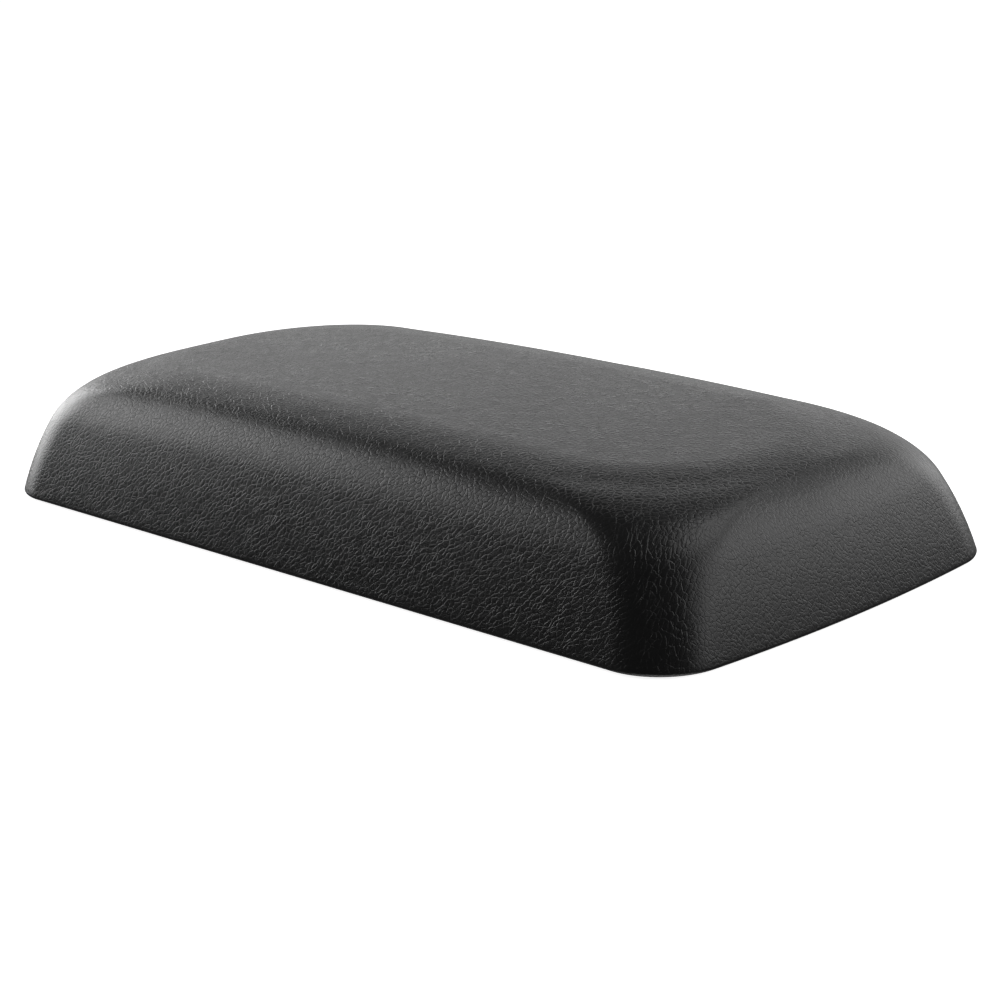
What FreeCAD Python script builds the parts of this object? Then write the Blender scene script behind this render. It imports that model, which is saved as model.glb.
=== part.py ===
import FreeCAD, Part
import math
import os

import Sketcher

# Padded armrest: a leathercloth cover drawn over moulded foam on a plastic base plate.
# The bottom is closed by a screwed panel, and four threaded inserts take the arm bracket.
# X runs along the pad, Y across it and Z up. The origin is the middle of the bottom face.

DIMENSIONS = [
    # the outside of the pad
    ("pad_length", 259.7, "length over the middle of the bottom edge before it is rounded"),
    ("pad_width", 129.2, "width over the bottom edge before it is rounded"),
    ("pad_rise", 38.0, "top of the crown above the seating face"),
    ("crown_rise", 4.0, "how much the top arches over the length of the pad"),
    ("end_round", 510.0, "plan radius of the bowed ends"),
    ("corner_round", 17.5, "plan radius of the bottom corners"),
    ("corner_growth", 12.0, "how much larger that radius would be at the top"),
    ("side_lean", 10.0, "how far the sides would lean in over the full height"),
    ("shoulder_round", 22.0, "radius of the shoulder between the sides and the top"),
    ("least_round", 4.0, "smallest plan radius of the inner outlines"),
    # the cover and its hem
    ("skin", 1.2, "leathercloth thickness"),
    ("cover_low", 0.3, "the hem stands this far clear of the seating face"),
    ("edge_round", 0.9, "radius along the bottom edge of the cover"),
    ("hem_wide", 10.0, "width of the stapled hem"),
    ("hem_low", 2.6, "underside of the stapled hem"),
    # the base plate
    ("fit_gap", 0.1, "room between the cover and what it is drawn over"),
    ("rim_wide", 4.0, "width of the rim that the cover folds round"),
    ("ledge_wide", 14.0, "width of the ledge that takes the staples"),
    ("wall", 3.0, "wall thickness of the base plate"),
    ("plate_top", 12.2, "top of the raised middle of the base plate"),
    ("rib_low", 5.0, "underside of the ribs"),
    ("rib_thick", 2.0, "rib thickness"),
    ("rib_pitch", 30.0, "spacing of the cross ribs"),
    ("long_rib_pitch", 50.0, "spacing of the two lengthwise ribs"),
    # the threaded inserts
    ("bolt_length", 100.0, "insert spacing along the pad"),
    ("bolt_width", 50.0, "insert spacing across the pad"),
    ("insert_radius", 4.0, "insert outside radius"),
    ("insert_waist", 3.5, "radius of the groove round its middle"),
    ("insert_depth", 10.0, "insert length"),
    ("thread_radius", 2.5, "minor radius of the M6 thread"),
    ("boss_radius", 8.0, "boss round each insert"),
    # the closing panel and its screws
    ("panel_thick", 2.0, "panel thickness"),
    ("panel_gap", 0.3, "gap between the panel and the hem"),
    ("boss_gap", 0.3, "gap between the panel and the insert bosses"),
    ("screw_end", 104.0, "distance of the end screws from the middle"),
    ("screw_side", 40.0, "distance of every screw from the centre line"),
    ("screw_radius", 1.45, "screw shank radius"),
    ("screw_head", 2.9, "screw head radius"),
    ("screw_sink", 1.5, "height of the countersunk head"),
    ("screw_length", 9.0, "screw length with its head"),
    ("screw_tip", 1.5, "length of the screw's point"),
    ("cross_wide", 0.9, "width of the cross recess"),
    ("cross_long", 3.2, "length of the cross recess"),
    ("cross_deep", 1.1, "depth of the cross recess"),
    ("post_radius", 3.8, "boss round each panel screw"),
    # the staples
    ("crown_wide", 9.2, "staple width over its legs"),
    ("wire_thick", 0.5, "staple wire thickness"),
    ("wire_wide", 0.8, "staple wire width"),
    ("leg_long", 4.0, "staple leg length"),
    ("staple_pitch", 20.0, "longest spacing of the staples"),
]

doc = FreeCAD.newDocument("ArmrestPad")
sheet = doc.addObject("Spreadsheet::Sheet", "Sizes")


def fill_sheet():
    """Write every driving dimension into the sheet under its own alias."""
    for row, (alias, value, note) in enumerate(DIMENSIONS, start=1):
        sheet.set(f"A{row}", alias)
        sheet.set(f"B{row}", str(value))
        sheet.setAlias(f"B{row}", alias)
        sheet.set(f"C{row}", note)
    doc.recompute()


def with_sizes(formula):
    """Point each alias in a formula at the sheet, so that setExpression can use it."""
    words = sorted((alias for alias, _, _ in DIMENSIONS), key=len, reverse=True)
    for number, word in enumerate(words):
        formula = formula.replace(word, f"@{number}@")
    for number, word in enumerate(words):
        formula = formula.replace(f"@{number}@", f"Sizes.{word}")
    return formula


def value(formula):
    """Work out a formula of aliases as a plain number of millimetres."""
    return float(sheet.evalExpression(with_sizes(formula)))


def bind(thing, path, formula):
    """Drive one property or constraint by a formula of aliases."""
    thing.setExpression(path, with_sizes(formula))


# ---------------------------------------------------------------- sketches and features

def new_body(label):
    """Start a body whose label names its file."""
    body = doc.addObject("PartDesign::Body", label)
    body.Label = label
    body.Placement = FreeCAD.Placement()
    return body


def sketch_on(body, name, height="0", role="XY_Plane"):
    """Attach a sketch to one of the body's own origin planes, lifted to a height."""
    sketch = body.newObject("Sketcher::SketchObject", name)
    plane = next(item for item in body.Origin.OriginFeatures if item.Role == role)
    sketch.AttachmentSupport = [(plane, "")]
    sketch.MapMode = "FlatFace"
    bind(sketch, "AttachmentOffset.Base.z", height)
    return sketch


def add_line(sketch, start, end):
    """Draw a straight line between two plan points."""
    return sketch.addGeometry(Part.LineSegment(FreeCAD.Vector(*start, 0), FreeCAD.Vector(*end, 0)), False)


def add_arc(sketch, centre, radius, start, end):
    """Draw an arc between two angles in radians."""
    circle = Part.Circle(FreeCAD.Vector(*centre, 0), FreeCAD.Vector(0, 0, 1), radius)
    return sketch.addGeometry(Part.ArcOfCircle(circle, start, end), False)


def constrain(sketch, name, kind, first, second, formula):
    """Add a named distance or radius that follows a formula."""
    number = sketch.addConstraint(Sketcher.Constraint(kind, *first, *second, value(formula)))
    sketch.renameConstraint(number, name)
    bind(sketch, f"Constraints.{name}", formula)


def add_outline(sketch, half_x, half_y, corner, bow):
    """Draw an oblong with straight long sides, gently bowed ends and four equal round corners."""
    reach_x, reach_y = value(half_x), value(half_y)
    corner_radius, bow_radius = value(corner), value(bow)
    bow_x = reach_x - bow_radius
    corner_y = reach_y - corner_radius
    meet = math.asin(corner_y / (bow_radius - corner_radius))
    corner_x = bow_x + (bow_radius - corner_radius) * math.cos(meet)
    quarter = math.pi / 2
    front = add_line(sketch, (-corner_x, -reach_y), (corner_x, -reach_y))
    front_right = add_arc(sketch, (corner_x, -corner_y), corner_radius, -quarter, -meet)
    right = add_arc(sketch, (bow_x, 0), bow_radius, -meet, meet)
    back_right = add_arc(sketch, (corner_x, corner_y), corner_radius, meet, quarter)
    back = add_line(sketch, (corner_x, reach_y), (-corner_x, reach_y))
    back_left = add_arc(sketch, (-corner_x, corner_y), corner_radius, quarter, 2 * quarter - meet)
    left = add_arc(sketch, (-bow_x, 0), bow_radius, 2 * quarter - meet, 2 * quarter + meet)
    front_left = add_arc(sketch, (-corner_x, -corner_y), corner_radius, 2 * quarter + meet, 3 * quarter)
    loop = [front, front_right, right, back_right, back, back_left, left, front_left]
    for item, following in zip(loop, loop[1:] + loop[:1]):
        sketch.addConstraint(Sketcher.Constraint("Tangent", item, 2, following, 1))
    for line in (front, back):
        sketch.addConstraint(Sketcher.Constraint("Horizontal", line))
    for arc in (back_right, back_left, front_left):
        sketch.addConstraint(Sketcher.Constraint("Equal", front_right, arc))
    sketch.addConstraint(Sketcher.Constraint("Equal", right, left))
    for arc in (right, left):
        sketch.addConstraint(Sketcher.Constraint("PointOnObject", arc, 3, -1))
    constrain(sketch, "corner", "Radius", (front_right,), (), corner)
    constrain(sketch, "bow", "Radius", (right,), (), bow)
    constrain(sketch, "right", "DistanceX", (right, 3), (-1, 1), f"{bow} - ({half_x})")
    constrain(sketch, "left", "DistanceX", (-1, 1), (left, 3), f"{bow} - ({half_x})")
    constrain(sketch, "front", "DistanceY", (front, 1), (-1, 1), half_y)
    constrain(sketch, "back", "DistanceY", (-1, 1), (back, 1), half_y)


def outline_at(body, name, height, inset):
    """Sketch the pad's bottom outline, drawn in by an inset, at a height."""
    sketch = sketch_on(body, name, height)
    corner = f"max(corner_round - ({inset}); least_round)"
    half_x, half_y = f"pad_length / 2 - ({inset})", f"pad_width / 2 - ({inset})"
    add_outline(sketch, half_x, half_y, corner, f"end_round - ({inset})")
    return sketch


def circles_at(body, name, height, centres, radius):
    """Sketch one circle for each pair of centre formulas."""
    sketch = sketch_on(body, name, height)
    for number, (along, across) in enumerate(centres, start=1):
        centre = FreeCAD.Vector(value(along), value(across), 0)
        circle = Part.Circle(centre, FreeCAD.Vector(0, 0, 1), value(radius))
        item = sketch.addGeometry(circle, False)
        constrain(sketch, f"radius_{number}", "Radius", (item,), (), radius)
        constrain(sketch, f"along_{number}", "DistanceX", (-1, 1), (item, 3), along)
        constrain(sketch, f"across_{number}", "DistanceY", (-1, 1), (item, 3), across)
    return sketch


def pad(body, name, sketch, depth):
    """Add material upwards from a sketch."""
    feature = body.newObject("PartDesign::Pad", name)
    feature.Profile = sketch
    bind(feature, "Length", depth)
    return feature


def pocket_up(body, name, sketch, depth):
    """Cut upwards from a sketch, and make sure that something was cut."""
    doc.recompute()
    before = body.Shape.Volume
    feature = body.newObject("PartDesign::Pocket", name)
    feature.Profile = sketch
    bind(feature, "Length", depth)
    feature.Reversed = True
    doc.recompute()
    if not body.Shape.Volume < before - 1e-3:
        raise RuntimeError(f"{name} cuts nothing from {body.Label}")
    return feature


def repeat_along(body, name, feature, role, length, count):
    """Repeat a feature in a straight row along one of the body's own axes."""
    pattern = body.newObject("PartDesign::LinearPattern", name)
    pattern.Originals = [feature]
    axis = next(item for item in body.Origin.OriginFeatures if item.Role == role)
    pattern.Direction = (axis, [""])
    bind(pattern, "Length", length)
    pattern.Occurrences = count
    body.Tip = pattern
    return pattern


# ---------------------------------------------------------------- the pad's outer form

def loft(body, name, outlines):
    """Join a stack of outlines with straight sides."""
    feature = body.newObject("PartDesign::AdditiveLoft", name)
    feature.Profile = outlines[0]
    feature.Sections = outlines[1:]
    feature.Ruled = True
    doc.recompute()
    return feature


def leaning_outline(body, name, height, depth):
    """Outline the leaning sides at a height, a depth below the pad's surface."""
    sketch = sketch_on(body, name, height)
    share = f"({height}) / pad_rise"
    inset = f"side_lean * {share} + {depth}"
    corner = f"corner_round + corner_growth * {share} - ({depth})"
    half_x, half_y = f"pad_length / 2 - ({inset})", f"pad_width / 2 - ({inset})"
    add_outline(sketch, half_x, half_y, corner, f"end_round - ({inset})")
    return sketch


def crown_outline(body, name, depth):
    """Sketch the space above the crown: an arc along the pad, closed by a box over it."""
    sketch = sketch_on(body, name, "0", "XZ_Plane")
    radius = "(pad_length * pad_length / 4 + crown_rise * crown_rise) / (2 * crown_rise)"
    low = f"pad_rise - crown_rise - ({depth})"
    reach, foot, roof = value("pad_length / 2"), value(low), value("pad_rise * 2")
    centre = (0, foot + value("crown_rise") - value(radius))
    half = math.asin(reach / value(radius))
    arc = add_arc(sketch, centre, value(radius), math.pi / 2 - half, math.pi / 2 + half)
    corners = [(-reach, foot), (-reach, roof), (reach, roof), (reach, foot)]
    sides = [add_line(sketch, start, end) for start, end in zip(corners, corners[1:])]
    sketch.addConstraint(Sketcher.Constraint("Coincident", arc, 2, sides[0], 1))
    sketch.addConstraint(Sketcher.Constraint("Coincident", sides[0], 2, sides[1], 1))
    sketch.addConstraint(Sketcher.Constraint("Coincident", sides[1], 2, sides[2], 1))
    sketch.addConstraint(Sketcher.Constraint("Coincident", sides[2], 2, arc, 1))
    for side, level in zip(sides, ("Vertical", "Horizontal", "Vertical")):
        sketch.addConstraint(Sketcher.Constraint(level, side))
    constrain(sketch, "arch", "Radius", (arc,), (), radius)
    constrain(sketch, "left", "DistanceX", (sides[0], 1), (-1, 1), "pad_length / 2")
    constrain(sketch, "right", "DistanceX", (-1, 1), (sides[2], 2), "pad_length / 2")
    constrain(sketch, "left_foot", "DistanceY", (-1, 1), (sides[0], 1), low)
    constrain(sketch, "right_foot", "DistanceY", (-1, 1), (sides[2], 2), low)
    constrain(sketch, "roof", "DistanceY", (-1, 1), (sides[0], 2), "pad_rise * 2")
    return sketch


def add_form(body, name, start, depth):
    """Build the pad's rounded form from a starting height up, a depth below its surface."""
    low = leaning_outline(body, f"{name}_low_outline", start, depth)
    high = leaning_outline(body, f"{name}_high_outline", "pad_rise + crown_rise", depth)
    block = loft(body, f"{name}_block", [low, high])
    crown = body.newObject("PartDesign::Pocket", f"{name}_crown")
    crown.Profile = crown_outline(body, f"{name}_crown_outline", depth)
    crown.SideType = "Symmetric"
    bind(crown, "Length", "pad_width * 2")
    doc.recompute()
    if not crown.Shape.Volume < block.Shape.Volume:
        raise RuntimeError(f"{name}_crown cuts nothing from {body.Label}")
    foot = value(f"pad_rise - crown_rise - ({depth})") - 0.5
    rims = [f"Edge{number}" for number, edge in enumerate(crown.Shape.Edges, start=1)
            if edge.BoundBox.ZMin > foot]
    shoulders = body.newObject("PartDesign::Fillet", f"{name}_shoulders")
    shoulders.Base = (crown, rims)
    bind(shoulders, "Radius", f"shoulder_round - ({depth})")
    doc.recompute()
    return shoulders


# ---------------------------------------------------------------- sub-parts

RIM_INNER = "skin + fit_gap + rim_wide"
LEDGE_INNER = "skin + fit_gap + rim_wide + ledge_wide"
LEDGE_LOW = "hem_low + skin"
LEDGE_TOP = "hem_low + skin + wall"
RIM_LOW = "cover_low + skin"
CROSS_RIBS = 7
LONG_RIBS = 2


def make_cover():
    """Leathercloth drawn over the foam, folded round the rim and hemmed onto the ledge."""
    body = new_body("cover")
    outside = add_form(body, "outside", "cover_low", "0")
    low = value("cover_low")
    edges = [f"Edge{number}" for number, edge in enumerate(outside.Shape.Edges, start=1)
             if edge.BoundBox.ZMax < low + 1e-4]
    rounding = body.newObject("PartDesign::Fillet", "edge_rounding")
    rounding.Base = (outside, edges)
    bind(rounding, "Radius", "edge_round")
    doc.recompute()
    room = new_body("room_for_contents")
    add_form(room, "inside", RIM_LOW, "skin")
    inside = body.newObject("PartDesign::Boolean", "inside")
    inside.Type = "Cut"
    inside.setObjects([room])
    body.Tip = inside
    doc.recompute()
    hem = outline_at(body, "hem_outline", "cover_low", RIM_INNER)
    pad(body, "hem", hem, "hem_low + skin - cover_low")
    panel_seat = outline_at(body, "panel_seat_outline", "cover_low", f"{RIM_INNER} + skin")
    pocket_up(body, "panel_seat", panel_seat, "hem_low - cover_low")
    opening = outline_at(body, "opening_outline", "cover_low", f"{RIM_INNER} + skin + hem_wide")
    pocket_up(body, "opening", opening, "hem_low + skin - cover_low")
    return body


def make_foam():
    """Moulded foam that fills the cover above the base plate."""
    body = new_body("foam_pad")
    add_form(body, "foam", LEDGE_TOP, "skin + fit_gap")
    seat = outline_at(body, "plate_seat_outline", LEDGE_TOP, LEDGE_INNER)
    pocket_up(body, "plate_seat", seat, f"plate_top - ({LEDGE_TOP})")
    return body


def insert_centres():
    """Centres of the four inserts, as formulas."""
    return [(f"{along} * bolt_length / 2", f"{across} * bolt_width / 2")
            for along in (-1, 1) for across in (-1, 1)]


def screw_centres():
    """Centres of the six panel screws, as formulas."""
    return [(f"{along} * screw_end", f"{across} * screw_side")
            for across in (-1, 1) for along in (-1, 0, 1)]


def make_base_plate():
    """Moulded plate: a rim and a staple ledge round a raised, ribbed middle with bosses."""
    body = new_body("base_plate")
    low = leaning_outline(body, "rim_low_outline", RIM_LOW, "skin + fit_gap")
    high = leaning_outline(body, "rim_top_outline", LEDGE_TOP, "skin + fit_gap")
    loft(body, "rim", [low, high])
    middle = outline_at(body, "middle_outline", LEDGE_TOP, LEDGE_INNER)
    pad(body, "middle", middle, f"plate_top - ({LEDGE_TOP})")
    hem_seat = outline_at(body, "hem_seat_outline", RIM_LOW, RIM_INNER)
    pocket_up(body, "hem_seat", hem_seat, f"{LEDGE_LOW} - ({RIM_LOW})")
    hollow = outline_at(body, "hollow_outline", LEDGE_LOW, f"{LEDGE_INNER} + wall")
    pocket_up(body, "hollow", hollow, f"plate_top - wall - ({LEDGE_LOW})")
    add_ribs(body)
    bosses = circles_at(body, "boss_circles", "0", insert_centres(), "boss_radius")
    pad(body, "bosses", bosses, "plate_top - wall")
    posts = circles_at(body, "post_circles", "panel_thick", screw_centres(), "post_radius")
    pad(body, "posts", posts, "plate_top - wall - panel_thick")
    sockets = circles_at(body, "insert_socket_circles", "0", insert_centres(), "insert_radius")
    pocket_up(body, "insert_sockets", sockets, "insert_depth")
    pilots = circles_at(body, "pilot_circles", "panel_thick", screw_centres(), "screw_radius")
    pocket_up(body, "pilots", pilots, "screw_length - panel_thick")
    return body


def add_ribs(body):
    """Ribs across the hollow and two along it, all under the raised middle."""
    depth = "plate_top - wall - rib_low"
    across = sketch_on(body, "cross_rib_outline", "rib_low")
    half_span = f"pad_width / 2 - ({LEDGE_INNER}) - wall / 2"
    add_rectangle(across, f"-{CROSS_RIBS - 1} * rib_pitch / 2", "0", "rib_thick / 2", half_span)
    first = pad(body, "cross_rib", across, depth)
    repeat_along(body, "cross_ribs", first, "X_Axis", f"{CROSS_RIBS - 1} * rib_pitch", CROSS_RIBS)
    along = sketch_on(body, "long_rib_outline", "rib_low")
    half_span = f"pad_length / 2 - ({LEDGE_INNER}) - wall / 2"
    add_rectangle(along, "0", "-long_rib_pitch / 2", half_span, "rib_thick / 2")
    first = pad(body, "long_rib", along, depth)
    repeat_along(body, "long_ribs", first, "Y_Axis", "long_rib_pitch", LONG_RIBS)


def add_rectangle(sketch, centre_x, centre_y, half_x, half_y):
    """Draw a plain rectangle by its centre and half sizes."""
    low_x, high_x = f"({centre_x}) - ({half_x})", f"({centre_x}) + ({half_x})"
    low_y, high_y = f"({centre_y}) - ({half_y})", f"({centre_y}) + ({half_y})"
    corners = [(value(x), value(y)) for x, y in
               ((low_x, low_y), (high_x, low_y), (high_x, high_y), (low_x, high_y))]
    lines = [add_line(sketch, start, end) for start, end in zip(corners, corners[1:] + corners[:1])]
    for number, line in enumerate(lines):
        following = lines[(number + 1) % 4]
        sketch.addConstraint(Sketcher.Constraint("Coincident", line, 2, following, 1))
        level = "Horizontal" if number % 2 == 0 else "Vertical"
        sketch.addConstraint(Sketcher.Constraint(level, line))
    constrain(sketch, "low_x", "DistanceX", (-1, 1), (lines[0], 1), low_x)
    constrain(sketch, "high_x", "DistanceX", (-1, 1), (lines[0], 2), high_x)
    constrain(sketch, "low_y", "DistanceY", (-1, 1), (lines[1], 1), low_y)
    constrain(sketch, "high_y", "DistanceY", (-1, 1), (lines[1], 2), high_y)


def make_panel():
    """Flat closing panel with clearance holes for the bosses and countersunk screw holes."""
    body = new_body("closing_panel")
    outline = outline_at(body, "panel_outline", "0", f"{RIM_INNER} + skin + panel_gap")
    pad(body, "panel", outline, "panel_thick")
    holes = circles_at(body, "boss_holes_circles", "0", insert_centres(), "boss_radius + boss_gap")
    pocket_up(body, "boss_holes", holes, "panel_thick")
    screw_holes = circles_at(body, "screw_hole_circles", "0", screw_centres(), "screw_radius")
    drilled = pocket_up(body, "screw_holes", screw_holes, "panel_thick")
    rims = [f"Edge{number}" for number, edge in enumerate(drilled.Shape.Edges, start=1)
            if edge.BoundBox.ZMax < 1e-4 and edge.Length < value("7 * screw_radius")]
    countersinks = body.newObject("PartDesign::Chamfer", "countersinks")
    countersinks.Base = (drilled, rims)
    bind(countersinks, "Size", "screw_head - screw_radius")
    return body


def profile_on_xz(body, name, points):
    """Sketch a closed outline of (radius, height) formulas on the XZ plane."""
    sketch = sketch_on(body, name, "0", "XZ_Plane")
    places = [(value(radius), value(height)) for radius, height in points]
    for start, end in zip(places, places[1:] + places[:1]):
        add_line(sketch, start, end)
    for number, (radius, height) in enumerate(points):
        before = (number - 1) % len(points)
        sketch.addConstraint(Sketcher.Constraint("Coincident", before, 2, number, 1))
        constrain(sketch, f"radius_{number}", "DistanceX", (-1, 1), (number, 1), radius)
        constrain(sketch, f"height_{number}", "DistanceY", (-1, 1), (number, 1), height)
    return sketch


def revolve(body, name, points):
    """Revolve a closed outline round the body's own vertical axis."""
    feature = body.newObject("PartDesign::Revolution", name)
    feature.Profile = profile_on_xz(body, f"{name}_outline", points)
    axis = next(item for item in body.Origin.OriginFeatures if item.Role == "Z_Axis")
    feature.ReferenceAxis = (axis, [""])
    feature.Angle = 360
    doc.recompute()
    return feature


def make_insert(number, along, across):
    """Brass insert with a groove round its middle and an M6 thread, here a plain bore."""
    body = new_body(f"threaded_insert_{number}")
    revolve(body, "turned", [
        ("thread_radius", "0"), ("insert_radius", "0"),
        ("insert_radius", "insert_depth * 0.4"), ("insert_waist", "insert_depth * 0.45"),
        ("insert_waist", "insert_depth * 0.55"), ("insert_radius", "insert_depth * 0.6"),
        ("insert_radius", "insert_depth"), ("thread_radius", "insert_depth")])
    bind(body, "Placement.Base.x", along)
    bind(body, "Placement.Base.y", across)
    return body


def make_screw(number, along, across):
    """Countersunk self-tapping screw with a cross recess in its head."""
    body = new_body(f"panel_screw_{number}")
    revolve(body, "turned", [
        ("0", "0"), ("screw_head", "0"), ("screw_radius", "screw_sink"),
        ("screw_radius", "screw_length - screw_tip"), ("0", "screw_length")])
    for name, half_x, half_y in (("slot_along", "cross_long / 2", "cross_wide / 2"),
                                 ("slot_across", "cross_wide / 2", "cross_long / 2")):
        slot = sketch_on(body, f"{name}_outline")
        add_rectangle(slot, "0", "0", half_x, half_y)
        pocket_up(body, name, slot, "cross_deep")
    bind(body, "Placement.Base.x", along)
    bind(body, "Placement.Base.y", across)
    return body


def staple_places():
    """Where the staples sit: evenly along the middle of the hem, turned to cross its edge."""
    inset = value(f"{RIM_INNER} + skin + hem_wide / 2")
    half_x = value("pad_length / 2") - inset
    half_y = value("pad_width / 2") - inset
    pitch = value("staple_pitch")
    clear = value("crown_wide")
    places = []
    for half_run, half_other, turned in ((half_x, half_y, 0), (half_y, half_x, 90)):
        count = math.ceil(2 * (half_run - clear) / pitch) + 1
        for number in range(count):
            along = -(half_run - clear) + 2 * (half_run - clear) * number / (count - 1)
            for side in (-1, 1):
                spot = (along, side * half_other) if turned == 0 else (side * half_other, along)
                places.append((*spot, turned))
    return places


def make_staples():
    """One wire staple copied round the hem, each with its crown under the cloth."""
    crown = doc.addObject("Part::Box", "staple_crown")
    bind(crown, "Length", "crown_wide")
    bind(crown, "Width", "wire_wide")
    bind(crown, "Height", "wire_thick")
    bind(crown, "Placement.Base.x", "-crown_wide / 2")
    bind(crown, "Placement.Base.y", "-wire_wide / 2")
    legs = []
    for name, edge in (("near", "-crown_wide / 2"), ("far", "crown_wide / 2 - wire_thick")):
        leg = doc.addObject("Part::Box", f"staple_leg_{name}")
        bind(leg, "Length", "wire_thick")
        bind(leg, "Width", "wire_wide")
        bind(leg, "Height", "leg_long")
        bind(leg, "Placement.Base.x", edge)
        bind(leg, "Placement.Base.y", "-wire_wide / 2")
        legs.append(leg)
    staple = doc.addObject("Part::MultiFuse", "staple")
    staple.Shapes = [crown, *legs]
    staple.Refine = True
    doc.recompute()
    height = value("hem_low - wire_thick")
    up = FreeCAD.Vector(0, 0, 1)
    copies = []
    for along, across, turned in staple_places():
        copy = staple.Shape.copy()
        spot = FreeCAD.Vector(along, across, height)
        copy.Placement = FreeCAD.Placement(spot, FreeCAD.Rotation(up, turned))
        copies.append(copy)
    group = doc.addObject("Part::Feature", "hem_staples")
    group.Label = "hem_staples"
    group.Shape = Part.Compound(copies)
    group.Placement = FreeCAD.Placement()
    return group


# ---------------------------------------------------------------- build, check and write

def check_document():
    """Stop if any feature failed, because a recompute doesn't raise by itself."""
    for item in doc.Objects:
        faults = [state for state in item.State if state in ("Invalid", "Error")]
        if faults:
            raise RuntimeError(f"{item.Label} is {faults}")


def write_parts(parts):
    """Check each sub-part's shape and write it to a file of its own."""
    for part in parts:
        if part.Shape.isNull() or not part.Shape.isValid():
            raise RuntimeError(f"{part.Label} has no valid shape")
    os.makedirs("parts", exist_ok=True)
    for part in parts:
        part.Shape.exportStep(f"parts/{part.Label}.step")
        box = part.Shape.BoundBox
        print(f"{part.Label}: {len(part.Shape.Solids)} solid(s), {part.Shape.Volume:.0f} mm3,"
              f" z {box.ZMin:.2f} to {box.ZMax:.2f}")


fill_sheet()
parts = [make_cover(), make_foam(), make_base_plate(), make_panel(), make_staples()]
for number, (along, across) in enumerate(insert_centres(), start=1):
    parts.append(make_insert(number, along, across))
for number, (along, across) in enumerate(screw_centres(), start=1):
    parts.append(make_screw(number, along, across))
doc.recompute()
check_document()
write_parts(parts)
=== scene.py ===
import math

import bpy
import numpy as np
from mathutils import Matrix, Vector
from mathutils.kdtree import KDTree


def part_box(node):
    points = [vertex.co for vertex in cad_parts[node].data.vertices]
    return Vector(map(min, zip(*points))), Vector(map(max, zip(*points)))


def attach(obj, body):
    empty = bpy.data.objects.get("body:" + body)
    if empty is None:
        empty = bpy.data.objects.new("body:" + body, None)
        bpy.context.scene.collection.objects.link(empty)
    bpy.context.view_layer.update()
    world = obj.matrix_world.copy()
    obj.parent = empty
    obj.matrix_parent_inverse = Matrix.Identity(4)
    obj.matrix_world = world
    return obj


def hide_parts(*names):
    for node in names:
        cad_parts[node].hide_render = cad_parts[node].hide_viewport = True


# Padded chair armrest in black grained leathercloth, standing on a pale floor.
# X runs along the pad, Y across it and Z up. Everything is in metres, in the frame's own space.

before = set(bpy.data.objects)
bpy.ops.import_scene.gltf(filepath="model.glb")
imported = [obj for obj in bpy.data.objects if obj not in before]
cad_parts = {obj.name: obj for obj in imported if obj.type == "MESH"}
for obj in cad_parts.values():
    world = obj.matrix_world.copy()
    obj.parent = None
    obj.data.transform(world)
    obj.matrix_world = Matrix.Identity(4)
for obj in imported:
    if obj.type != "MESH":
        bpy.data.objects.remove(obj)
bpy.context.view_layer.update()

MM = 0.001

# ------------------------------------------------------------------ sizes

COVER_LOW, COVER_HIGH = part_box("cover")
PLATE_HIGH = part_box("base_plate")[1]
FOAM_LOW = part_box("foam_pad")[0]

HALF_LENGTH = COVER_HIGH.x
HALF_WIDTH = COVER_HIGH.y
SKIN = 1.2 * MM                     # leathercloth thickness
CROWN = 3.9 * MM                    # arch of the top along the pad, before the cover is drawn tight
BOW = 510.0 * MM                    # plan radius of the bowed ends
CORNER = 17.5 * MM                  # plan radius of the bottom corners
CORNER_GROWTH = 71.5                # growth of that radius with the square of the inset, per metre
PLATEAU_SHARE = 0.97                # corner radius of the flat top against the room there is for it
PLATEAU_EASE = 3.0 * MM             # how gently the corners go from growing to filling that room

# The cover's outline from its lowest point up to the flat top, as tangent arcs.
# Each is the steepness in degrees where it ends and its radius; the first starts at 180.
LIP_ARC = (76.4, 0.9 * MM)
SIDE_ARC = (68.3, 144.0 * MM)
SHOULDER_ARCS = ((45.0, 22.3 * MM), (14.0, 14.0 * MM), (0.0, 58.0 * MM))
ARC_STEPS = (10, 16, 12, 12, 18)

# the hem under the pad, measured inwards from the bottom edge as it was before it was rounded
RIM_INNER = 5.3 * MM
HEM_INNER = 16.5 * MM
LEDGE_INNER = 19.3 * MM
EDGE_LEAD = 0.36 * MM               # how far that edge lies outside the rounded one
LEAST_ROUND = 4.0 * MM              # smallest plan radius of the inner outlines
HEM_LOW = 2.6 * MM                  # height of the hem's underside
HEM_BEND = 0.4 * MM                 # how tightly the cloth bends along the hem
HEM_END = 0.3 * MM                  # and how far its cut edge is rounded
EDGE_RINGS = (2.4 * MM, 4.0 * MM, 5.6 * MM)   # rings of the level bottom edge
RIM_TURN = 6.2 * MM                 # ring where that edge starts to turn up inside the rim

FOAM_GAP = 0.25 * MM                # between the cover and the foam
FOOT_CLEAR = 0.5 * MM               # from the foot of a layer up to its next ring

LONG_STEPS = 72                     # mesh steps along a long side
SHORT_STEPS = 32                    # along a short side
CORNER_STEPS = 28                   # round a corner
PLEATS = 5                          # pleats under each corner
PLEAT_DEPTH = 0.18 * MM

# the cloth simulation of the cover over its foam
SIM_VOXEL = 5.0 * MM
SIM_PRESSURE = 4.0
SIM_FRAMES = 20
SIM_QUALITY = 6
NEAR_POINTS = 24                    # simulated points that each point of the fine mesh follows
HELD_BELOW = 5.0 * MM               # below this the hem holds the cover to the plate
MOST_MOVED = 99                     # percentile of the movement that is scaled to the limit
DRAWN_LIMIT = 0.3 * MM              # furthest that any point moves

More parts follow.
